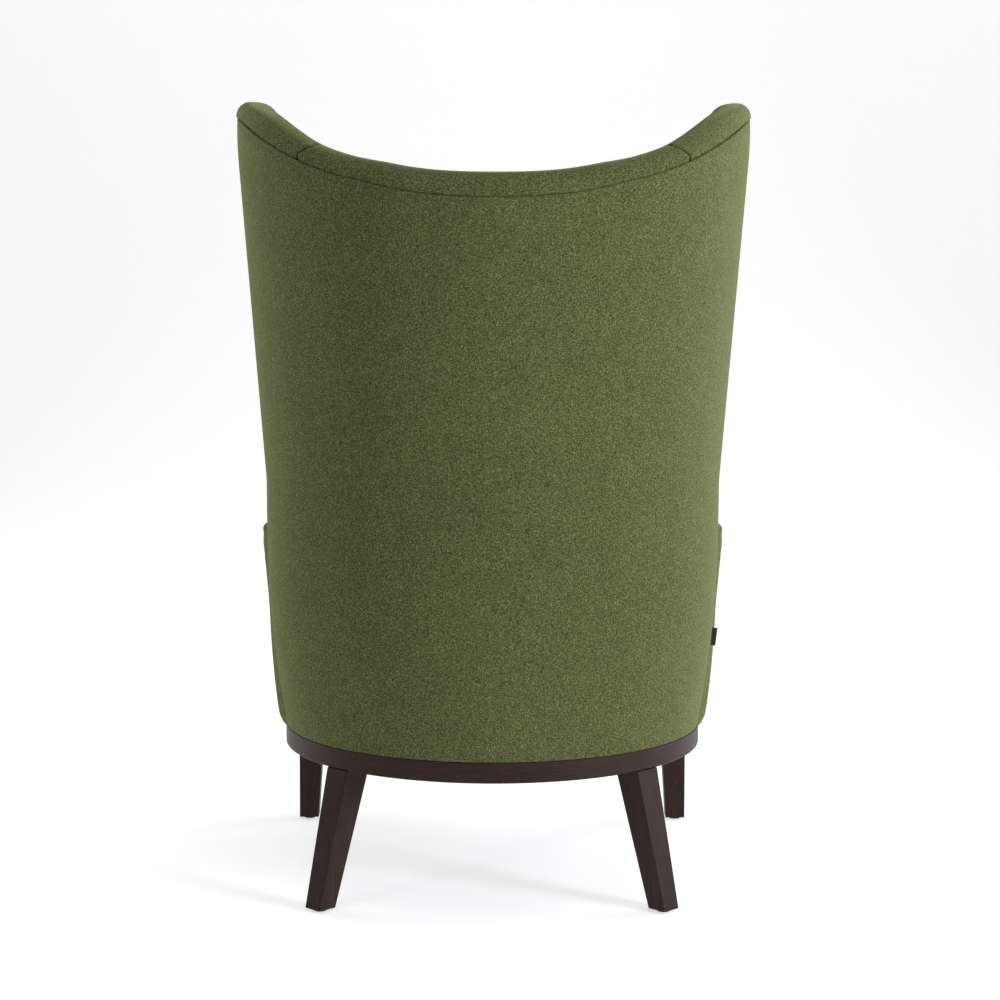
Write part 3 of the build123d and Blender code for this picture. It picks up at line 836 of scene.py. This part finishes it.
# %% [markdown]
# ## The rolled rim
# Foam under cloth does not keep a constructed edge exactly. On the real chair the outer seam dips
# between the side and the tip, the seam between back pad and wing slants where it crosses the
# rim, and the crest and the tips are a little fuller or lower than a clean sweep. Three functions
# shift the points by these few millimetres, each faded out by smooth ramps.

# %% Places along the rim
def seam_height(sine):
    """Height of the constructed seam; sine is 0 in the middle of the back and 1 at the wings."""
    inset = SHELL_SIZES["Seam Inset"] * (1.0 - SHELL_SIZES["Seam Close"] * sine * sine)
    return SHELL_SIZES["Rim Height"] + SHELL_SIZES["Rim Lift"] * sine**RIM_POWER - inset


def rim_place(point):
    """Depth of a point below the shell, how far round it lies and the seam's height there."""
    depth = under_shell(point)
    sine = min(1.0, abs(point.x) / (shell_plan(point.z)[0] - depth)) if point.y > CENTRE_Y else 1.0
    return depth, sine, seam_height(sine)


print("seam climbs from", round(seam_height(0.0), 3), "to", round(seam_height(1.0), 3))

# %% Lip along the dipping seam
LIP_DEPTH = (0.013, 0.018)
LIP_TOP = (0.002, 0.026)
LIP_FOOT = (-0.090, -0.050)


def dip_lip(obj):
    """Draws the pad's outer lip down to the dipping seam, along the shell."""
    for vertex in obj.data.vertices:
        z = vertex.co.z
        depth, sine, seam = rim_place(vertex.co)
        if z < SHELL_SIZES["Waist Height"] or depth > LIP_DEPTH[1]:
            continue
        half, reach = shell_plan(z)
        near = (1.0 - ramp(z - seam, *LIP_TOP)) * ramp(z - seam, *LIP_FOOT)
        dip = SHELL_SIZES["Seam Dip"] * max(0.0, sine - DIP_START) * (DIP_END - sine)
        vertex.co.z = z - dip * near * (1.0 - ramp(depth, *LIP_DEPTH))
        new_half, new_reach = shell_plan(vertex.co.z)
        vertex.co.x *= new_half / half
        vertex.co.y = CENTRE_Y + (vertex.co.y - CENTRE_Y) * new_reach / reach


print("lip reaches", LIP_DEPTH[1], "under the shell")

# %% Slanting seam over the rim
CREST_LOW = 1.0
SLANT_IN = math.radians(1.9)
SLANT_OUT = math.radians(0.8)
SLANT_WIDTH = (0.04, 0.30)
SLANT_CREST = (-0.004, 0.028)
SLANT_DEPTH = (0.015, 0.040)
MIDDLE_TURN = 0.01


def slant_seam(obj):
    """Slants the seam between back pad and wing where it crosses the rim."""
    for vertex in obj.data.vertices:
        point = vertex.co
        if point.z < CREST_LOW or point.y < CENTRE_Y:
            continue
        depth, _, seam = rim_place(point)
        half, reach = shell_plan(point.z)
        turn = math.atan2(abs(point.x) / half, (point.y - CENTRE_Y) / reach)
        near = 1.0 - ramp(abs(turn - PAD_SEAM), *SLANT_WIDTH)
        crest = ramp(point.z - seam, *SLANT_CREST)
        outside = (1.0 - ramp(depth, *SLANT_DEPTH)) * ramp(point.z - seam, *LIP_FOOT)
        new_turn = turn + near * (SLANT_OUT * outside * (1.0 - crest) - SLANT_IN * crest)
        point.x *= math.sin(new_turn) / math.sin(turn) if turn > MIDDLE_TURN else 1.0
        point.y = CENTRE_Y + (point.y - CENTRE_Y) * math.cos(new_turn) / math.cos(turn)
        point.z += seam_height(math.sin(new_turn)) - seam_height(math.sin(turn))


print("slant", round(math.degrees(SLANT_IN + SLANT_OUT), 1), "degrees from lip to crest")

# %% Crest and tips
CREST_NEAR = (0.004, 0.028)
CREST_RISE = 0.0036
RISE_END = (0.40, 0.56)
CREST_FALL = 0.0040
FALL_START = (0.50, 0.72)
FALL_END = (0.72, 0.90)
EASED = 0.7
TIP_HEIGHT = (1.176, 1.214)
TIP_DEPTH = (0.005, 0.050)
TIP_FILL = 0.0068
TIP_FALL = 0.0040


def ease_crest(obj):
    """Raises the crest a little behind the head, lowers it where it climbs, and fills the tips."""
    for vertex in obj.data.vertices:
        point = vertex.co
        if point.z < CREST_LOW:
            continue
        depth, sine, seam = rim_place(point)
        near = ramp(point.z - seam, *CREST_NEAR)
        rise = CREST_RISE * (1.0 - ramp(sine, *RISE_END))
        fall = CREST_FALL * ramp(sine, *FALL_START) * (1.0 - EASED * ramp(sine, *FALL_END))
        tip = ramp(point.z, *TIP_HEIGHT)
        outer = 1.0 - ramp(depth, *TIP_DEPTH)
        point.x += math.copysign(TIP_FILL * tip * outer, point.x)
        point.z += (rise - fall) * near - TIP_FALL * tip * (1.0 - EASED * outer)


def shape_rim(obj):
    """Lip, crossing seam and crest, in that order."""
    dip_lip(obj)
    slant_seam(obj)
    ease_crest(obj)


print("rim shaping ready")

# %% [markdown]
# ## Making the pads
# Each pad is copied, swollen, made finer and then shaped along the rim. The wings are alike, so
# one is made and mirrored.

# %% Make the back pad and the wings
PAD_VOXEL = 0.0055

back_pad, back_form = soft_copy("inner_back_cover", "inner_back_pad", PAD_VOXEL)
swell(back_pad, held_pad, most=0.010)
finer(back_pad, back_form)
shape_rim(back_pad)
finish_pad(back_pad, "inner_back_pad")

wing_left, wing_form = soft_copy("wing_cover_left", "wing_pad_left", PAD_VOXEL)
swell(wing_left, held_pad, most=0.007)
finer(wing_left, wing_form)
shape_rim(wing_left)
wing_right = mirrored(wing_left, "wing_cover_right")
finish_pad(wing_left, "wing_pad_left")
finish_pad(wing_right, "wing_pad_right")

# %% [markdown]
# ## Arms
# Each arm is a foam block over a plywood frame, and its rear end follows the shell round to a
# seam that slants back towards the foot. The solid has a pocket for the frame, which a cover
# does not need, so the pocket's points are taken out and the opening is filled first. The rear
# end, seen from behind beside the back panel, and the foot are held. The stuffing is pressed
# outwards under the top near the back, so the outer side is pushed out a few millimetres there.

# %% Where the arms are held
arm_low, arm_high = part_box("arm_pad_left")
HELD_REAR = (0.010, 0.050)
HELD_FOOT = (0.006, 0.030)


def held_arm(point, normal):
    """Held at the rear end and along the foot."""
    from_rear = ramp(CENTRE_Y - point.y, *HELD_REAR)
    from_foot = ramp(point.z - arm_low.z, *HELD_FOOT)
    return 1.0 - from_rear * from_foot


def seam_line(z):
    """Where the back panel's front edge lies beside the arm at height z."""
    below = (SHELL_SIZES["Arm Top"] - z) / (SHELL_SIZES["Arm Top"] - RING_TOP)
    return CENTRE_Y - WING_START + SHELL_SIZES["Arm Tuck"] * below


print("arm seam runs from", round(seam_line(arm_high.z), 3), "to", round(seam_line(arm_low.z), 3))

# %% Fill the arm's side
ARM_FULL = 0.0060
ARM_CORNER = 0.0035
ARM_FOOT = 0.0045
ARM_ROLL = 0.028
OUTER_SIDE = (-0.065, -0.020)
FULL_BAND = (-0.145, -0.025)
CORNER_BAND = (-0.026, -0.004)
FOOT_BAND = (0.0, 0.016)
FRONT_FADE = (0.040, 0.240)
FADED = 0.85
ROLLED = 0.9
INNER_SPARE = 0.0015


def fill_arm(obj):
    """Fills the side under the top, draws in the foot and rolls the rear end down to its seam."""
    for vertex in obj.data.vertices:
        point = vertex.co
        outer = ramp(point.x - arm_high.x, *OUTER_SIDE)
        rear = 1.0 - FADED * ramp(CENTRE_Y - point.y, *FRONT_FADE)
        full = ARM_FULL * ramp(point.z - arm_high.z, *FULL_BAND)
        corner = ARM_CORNER * ramp(point.z - arm_high.z, *CORNER_BAND)
        foot = ARM_FOOT * (1.0 - ramp(point.z - arm_low.z, *FOOT_BAND))
        point.x = max(point.x + outer * ((full + corner) * rear - foot), arm_low.x - INNER_SPARE)
        half, reach = shell_plan(point.z)
        outwards = Vector((point.x / half**2, max(0.0, point.y - CENTRE_Y) / reach**2, 0.0)).normalized()
        proud = max(0.0, -under_shell(point))
        point -= outwards * proud * ROLLED * (1.0 - ramp(seam_line(point.z) - point.y, 0.0, ARM_ROLL))


print("arm side filled by up to", ARM_FULL + ARM_CORNER)

# %% Make the arms
ARM_VOXEL = 0.006

arm_left, arm_form = soft_copy("arm_cover_left", "arm_pad_left", ARM_VOXEL, pocket="arm_frame_left")
swell(arm_left, held_arm, most=0.006)
finer(arm_left, arm_form)
fill_arm(arm_left)
arm_right = mirrored(arm_left, "arm_cover_right")
finish_pad(arm_left, "arm_pad_left")
finish_pad(arm_right, "arm_pad_right")

# %% [markdown]
# ## Loose seat and front panel
# The seat is a boxed cushion: a top and an underside sewn to a band round the sides. Its two
# seams run where the rounded edges turn by half, so points whose normal leans that way are
# held, and the top crowns between them. The underside stays flat on the straps, and the sides
# stay clear of the arms.

# %% Where seat and front panel are held
seat_low, seat_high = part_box("seat_cushion")
SEAM_LEAN = 0.70
SEAM_SPAN = (0.06, 0.14)
STRAP_SPAN = (0.002, 0.012)
FRONT_SPAN = (0.80, 0.97)


def held_seat(point, normal):
    """Held along both seams and on the straps."""
    seam = 1.0 - ramp(abs(abs(normal.z) - SEAM_LEAN), *SEAM_SPAN)
    flat = 1.0 - ramp(point.z - seat_low.z, *STRAP_SPAN)
    return max(seam, flat)


def held_front(point, normal):
    """Held everywhere but on the face."""
    return 1.0 - ramp(-normal.y, *FRONT_SPAN)


print("seat from", round(seat_low.z, 3), "to", round(seat_high.z, 3))

# %% Make the seat and the front panel
SEAT_VOXEL = 0.007
SEAT_SWELL = 0.0035
SEAT_SIDE = seat_high.x + SEAT_SWELL
FRONT_VOXEL = 0.004

seat, seat_form = soft_copy("seat_cover", "seat_cushion", SEAT_VOXEL)
swell(seat, held_seat, most=0.014)
finer(seat, seat_form)
for vertex in seat.data.vertices:
    vertex.co.x = max(-SEAT_SIDE, min(SEAT_SIDE, vertex.co.x))
    vertex.co.z = max(vertex.co.z, seat_low.z)
finish_pad(seat, "seat_cushion")

front, front_form = soft_copy("seat_front_cover", "seat_front_panel", FRONT_VOXEL)
swell(front, held_front, most=0.004)
finer(front, front_form)
finish_pad(front, "seat_front_panel")

# %% [markdown]
# ## Stitches
# Below the outer seam a second row of stitches holds the seam allowance flat. Each stitch is a
# short bead of thread, and hundreds of them follow the shell, so they are instances on points
# of a resampled curve. The curve is a row of points put through the same shell group, so it
# needs no list of positions.

# %% Stitch tree
STITCH_SIZES = {
    "Pitch": 0.0042,
    "Stitch Length": 0.0032,
    "Thread": 0.0008,
    "Below": GROOVE_BELOW,
    "Proud": 0.0001,
}
LINE_STEPS = 200
LINE_REACH = 0.955


def stitch_tree():
    """Beads of thread along a row that is put through the shell group."""
    inputs = {label: "Float" for label in SHELL_SIZES}
    inputs.update({label: "Float" for label in STITCH_SIZES})
    inputs["Thread Finish"] = "Material"
    tree, f = new_tree("seam_stitches", inputs)
    line = added(tree, "GeometryNodeMeshLine", Count=2 * LINE_STEPS + 1, Offset=(0.0, 0.0, 0.0))
    index = Flow(tree, tree.nodes.new("GeometryNodeInputIndex").outputs["Index"])
    along = (index - LINE_STEPS) / LINE_STEPS * LINE_REACH
    point = shell_call(tree, f, Along=along, Rise=1.0, Below_Seam=f["Below"], Stand_Off=f["Proud"])
    placed = added(tree, "GeometryNodeSetPosition", Geometry=line.outputs["Mesh"], Position=point)
    curve = added(tree, "GeometryNodeMeshToCurve", Mesh=placed.outputs["Geometry"])
    even = tree.nodes.new("GeometryNodeResampleCurve")
    even.mode = "LENGTH"
    tree.links.new(curve.outputs["Curve"], even.inputs["Curve"])
    tree.links.new(f["Pitch"].socket, even.inputs["Length"])
    bead = added(tree, "GeometryNodeMeshUVSphere", Segments=6, Rings=5, Radius=0.5)
    size = added(tree, "ShaderNodeCombineXYZ", X=f["Stitch Length"], Y=f["Thread"], Z=f["Thread"])
    tangent = tree.nodes.new("GeometryNodeInputTangent")
    aim = added(tree, "FunctionNodeAlignRotationToVector", Vector=tangent.outputs["Tangent"])
    aim.axis = "X"
    row = added(
        tree,
        "GeometryNodeInstanceOnPoints",
        Points=even.outputs["Curve"],
        Instance=bead.outputs["Mesh"],
        Rotation=aim.outputs["Rotation"],
        Scale=size.outputs["Vector"],
    )
    plain = added(tree, "GeometryNodeRealizeInstances", Geometry=row.outputs["Instances"])
    clad = added(
        tree,
        "GeometryNodeSetMaterial",
        Geometry=plain.outputs["Geometry"],
        Material=f["Thread Finish"],
    )
    return close_tree(tree, "Geometry", clad.outputs["Geometry"])


seam_stitches = stitch_tree()
print("stitch tree", len(seam_stitches.nodes), "nodes")

# %% Make the stitches
stitch_values = {**SHELL_SIZES, **STITCH_SIZES, "Thread Finish": thread}
stitches = grown("back_seam_stitches", seam_stitches, stitch_values)
smooth(stitches)
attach(stitches, "root")
print(count(stitches))

# %% [markdown]
# ## The small tab
# A short plain black ribbon is folded double and caught in the seam of the right arm. A folded
# strip is a closed outline drawn in plan and carried up by the ribbon's width, with the fold a
# little rounder than the two layers beside it.

# %% Plan of the tab
tab_low, tab_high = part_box("seam_tab")
TAB_SHORTER = 0.003
TAB_LONG = tab_high.x - tab_low.x - TAB_SHORTER
TAB_HALF = 0.0004
TAB_FOLD = 0.0011
TAB_LOOP = 0.006
FOLD_STEPS = 8


def tab_outline():
    """Plan of the folded ribbon, from the seam out round the fold and back."""
    bend = TAB_LOOP - TAB_LONG
    points = [(0.0, TAB_HALF), (bend, TAB_HALF)]
    for step in range(FOLD_STEPS + 1):
        angle = math.pi / 2 + math.pi * step / FOLD_STEPS
        points.append((TAB_FOLD - TAB_LONG + TAB_FOLD * math.cos(angle), TAB_FOLD * math.sin(angle)))
    return points + [(bend, -TAB_HALF), (0.0, -TAB_HALF)]


print("tab outline", len(tab_outline()), "points")

# %% Make the tab
TAB_TALL = 0.028
TAB_ROWS = 8
TAB_SLIDE = 0.005
TAB_LEAN = math.atan2(SHELL_SIZES["Arm Tuck"], SHELL_SIZES["Arm Top"] - RING_TOP)
TAB_TILT = math.radians(-8.0)

work = bmesh.new()
rows = []
for step in range(TAB_ROWS + 1):
    z = TAB_TALL * (step / TAB_ROWS - 0.5)
    rows.append([work.verts.new((x, y, z)) for x, y in tab_outline()])
for lower, upper in zip(rows, rows[1:]):
    for i in range(len(lower)):
        j = (i + 1) % len(lower)
        work.faces.new((lower[i], lower[j], upper[j], upper[i]))
work.faces.new(rows[0])
work.faces.new(rows[-1])
bmesh.ops.recalc_face_normals(work, faces=work.faces)
seam_end = Vector((tab_high.x, (tab_low.y + tab_high.y) / 2, (tab_low.z + tab_high.z) / 2))
leaned = Matrix.Rotation(TAB_LEAN, 4, "X") @ Matrix.Rotation(TAB_TILT, 4, "Y")
slid = Matrix.Translation(leaned @ Vector((0.0, 0.0, TAB_SLIDE)))
work.transform(Matrix.Translation(seam_end) @ slid @ leaned)
tab = piece_from(work, "blank_tab")
give_finish(tab, tab_black)
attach(tab, "root")
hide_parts("seam_tab")
print(count(tab))

# %% [markdown]
# ## Studio floor and light
# The chair stands on a white sweep that curves up far behind it, so there is no horizon. One
# large soft light on the right of the picture is the main one, faintly blue like a window, and a
# weak one stands opposite. Two more, beyond the chair, graze the sides of the shell, one hangs
# above the rim, and the white surroundings fill the shadows.

# %% Floor sweep
FLOOR_HALF = 9.0
SWEEP_START = -2.5
SWEEP_RADIUS = 2.5
SWEEP_STEPS = 24
SWEEP_TOP = 7.0
FLOOR_NEAR = 5.5

profile = [(FLOOR_NEAR, 0.0), (SWEEP_START, 0.0)]
for step in range(1, SWEEP_STEPS + 1):
    angle = math.pi / 2 * step / SWEEP_STEPS
    profile.append((SWEEP_START - SWEEP_RADIUS * math.sin(angle), SWEEP_RADIUS * (1 - math.cos(angle))))
profile.append((SWEEP_START - SWEEP_RADIUS, SWEEP_TOP))
work = bmesh.new()
sides = [[work.verts.new((x, y, z)) for y, z in profile] for x in (-FLOOR_HALF, FLOOR_HALF)]
for i in range(len(profile) - 1):
    work.faces.new((sides[0][i + 1], sides[1][i + 1], sides[1][i], sides[0][i]))
bmesh.ops.recalc_face_normals(work, faces=work.faces)
floor = piece_from(work, "studio_floor")
smooth(floor)
print(count(floor))

# %% Paper finish
PAPER_GREY = (0.60, 0.60, 0.60, 1.0)
PAPER_GLOW = 0.58

paper, _, paper_shader, _ = new_finish("white_paper")
paper_shader.inputs["Base Color"].default_value = PAPER_GREY
paper_shader.inputs["Roughness"].default_value = 0.9
paper_shader.inputs["Specular IOR Level"].default_value = 0.1
paper_shader.inputs["Emission Color"].default_value = (1.0, 1.0, 1.0, 1.0)
paper_shader.inputs["Emission Strength"].default_value = PAPER_GLOW
give_finish(floor, paper)
print("floor wears", paper.name)

# %% Lights
LIGHTS = {
    "main_light": ((-3.35, 2.3, 1.5), 1.1, 129.0, (0.99, 1.0, 1.12)),
    "left_light": ((2.8, 2.8, 1.5), 0.7, 23.0, (1.0, 1.0, 1.0)),
    "right_edge_light": ((-2.8, -1.2, 1.5), 1.8, 60.0, (1.0, 1.0, 1.0)),
    "left_edge_light": ((2.7, -1.5, 1.5), 1.8, 30.0, (1.0, 1.0, 1.0)),
    "top_light": ((0.0, 0.6, 4.2), 2.4, 56.0, (1.0, 1.0, 1.0)),
}
LIGHT_AIM = Vector((0.0, 0.0, 0.65))

for name, (place, size, power, colour) in LIGHTS.items():
    data = bpy.data.lights.new(name, "AREA")
    data.size = size
    data.energy = power
    data.color = colour
    light = bpy.data.objects.new(name, data)
    light.location = place
    light.rotation_euler = (LIGHT_AIM - Vector(place)).to_track_quat("-Z", "Y").to_euler()
    scene.collection.objects.link(light)
print(len(LIGHTS), "lights")

# %% White room
ROOM_WHITE = (1.0, 1.0, 1.0, 1.0)
ROOM_STRENGTH = 0.10

world = bpy.data.worlds.new("white_room")
world.use_nodes = True
background = world.node_tree.nodes["Background"]
background.inputs["Color"].default_value = ROOM_WHITE
background.inputs["Strength"].default_value = ROOM_STRENGTH
scene.world = world
scene.view_settings.view_transform = "Standard"
print("room strength", ROOM_STRENGTH)
